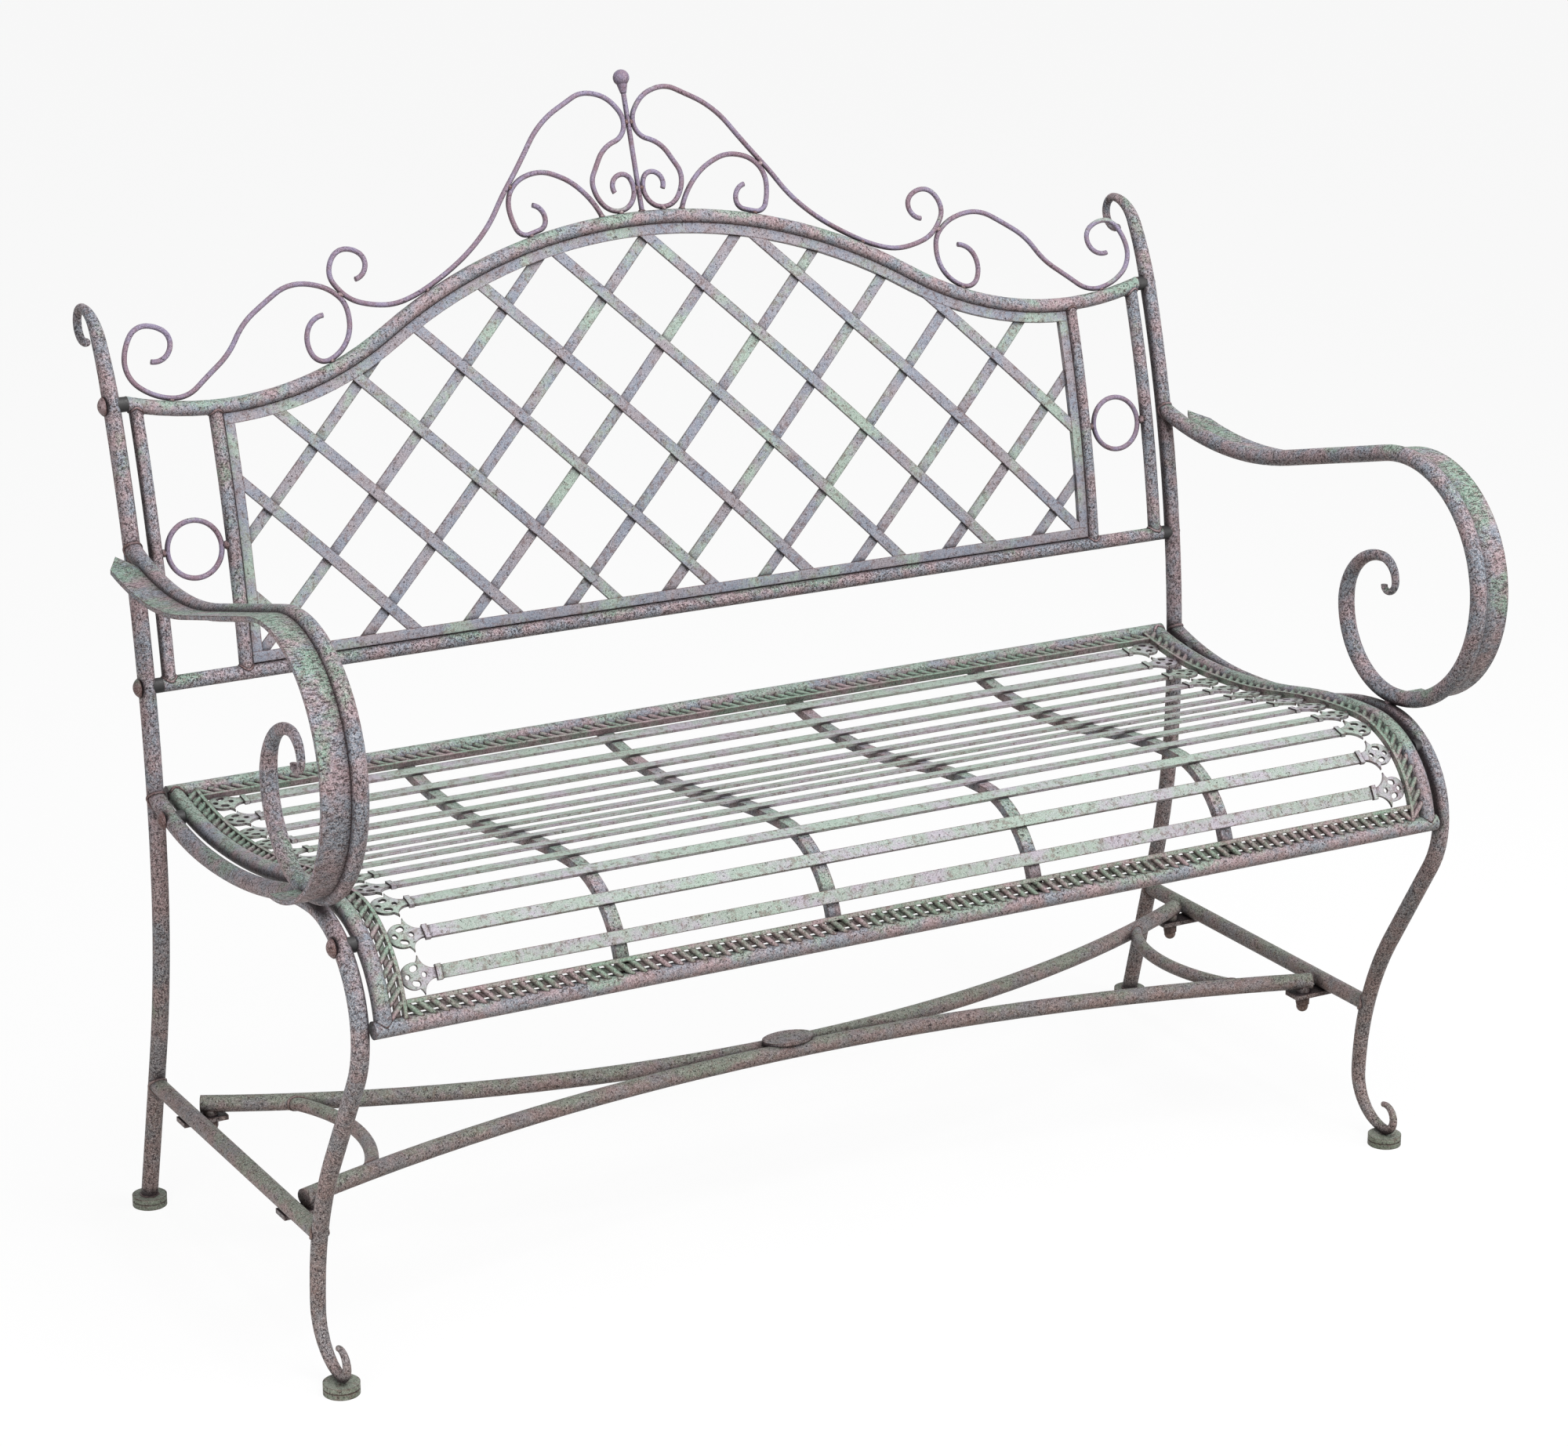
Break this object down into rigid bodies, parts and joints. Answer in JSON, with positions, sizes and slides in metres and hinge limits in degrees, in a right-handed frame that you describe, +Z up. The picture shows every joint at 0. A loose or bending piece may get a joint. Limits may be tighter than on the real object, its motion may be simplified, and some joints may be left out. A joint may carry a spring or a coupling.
{
  "type": "garden bench",
  "caption": "Metal garden bench with scrolled arms, a curved slatted seat with rope borders, a lattice back with an arched scroll crest and a bowed stretcher",
  "frame": {"origin": "on the floor under the middle of the bounding box", "axes": "+X along the seat to the right as seen from the front, +Y to the back, +Z up"},
  "size_m": [1.2104, 0.6527, 1.0368],
  "materials": {
    "tube_paint": "aged satin paint with patina",
    "slat_paint": "aged satin paint, worn pale green",
    "strip_paint": "aged hammered paint",
    "border_paint": "aged paint with dark recesses",
    "crest_paint": "aged satin paint",
    "lattice_paint": "aged satin paint",
    "foot_paint": "aged satin paint, worn pale green",
    "bolt_paint": "aged dark paint",
    "spacer_black": "matte"
  },
  "bodies": {
    "root": {"arm_scroll_L": "tube_paint", "arm_scroll_R": "tube_paint", "arm_strip_L": "strip_paint", "arm_strip_R": "strip_paint", "back_bottom_rail": "tube_paint", "back_inner_stile_L": "tube_paint", "back_inner_stile_R": "tube_paint", "back_outer_stile_L": "tube_paint", "back_outer_stile_R": "tube_paint", "back_top_rail": "tube_paint", "crest_scroll_L": "crest_paint", "crest_scroll_R": "crest_paint", "end_scroll_L": "crest_paint", "end_scroll_R": "crest_paint", "finial_ball": "crest_paint", "finial_rod": "crest_paint", "frame_bolts_L": "bolt_paint", "frame_bolts_R": "bolt_paint", "frame_spacers": "spacer_black", "front_foot_L": "foot_paint", "front_foot_R": "foot_paint", "front_leg_L": "tube_paint", "front_leg_R": "tube_paint", "lattice_bars_front": "lattice_paint", "lattice_bars_rear": "lattice_paint", "lattice_frame_bottom": "lattice_paint", "lattice_frame_side_L": "lattice_paint", "lattice_frame_side_R": "lattice_paint", "lattice_frame_top": "lattice_paint", "lower_rail_L": "tube_paint", "lower_rail_R": "tube_paint", "rear_foot_L": "foot_paint", "rear_foot_R": "foot_paint", "rear_post_L": "tube_paint", "rear_post_R": "tube_paint", "seat_bearers": "tube_paint", "seat_border_L": "border_paint", "seat_border_R": "border_paint", "seat_border_front": "border_paint", "seat_border_rear": "border_paint", "seat_front_rail": "tube_paint", "seat_rear_rail": "tube_paint", "seat_side_rail_L": "tube_paint", "seat_side_rail_R": "tube_paint", "seat_slats": "slat_paint", "side_ring_L": "crest_paint", "side_ring_R": "crest_paint", "slat_ends": "slat_paint", "small_scroll_L": "crest_paint", "small_scroll_R": "crest_paint", "stretcher_bosses": "tube_paint", "stretcher_brace_L": "tube_paint", "stretcher_brace_R": "tube_paint", "stretcher_cap_nuts": "bolt_paint", "stretcher_front": "tube_paint", "stretcher_lugs_L": "tube_paint", "stretcher_lugs_R": "tube_paint", "stretcher_plate": "tube_paint", "stretcher_rear": "tube_paint"}
  },
  "joints": []
}
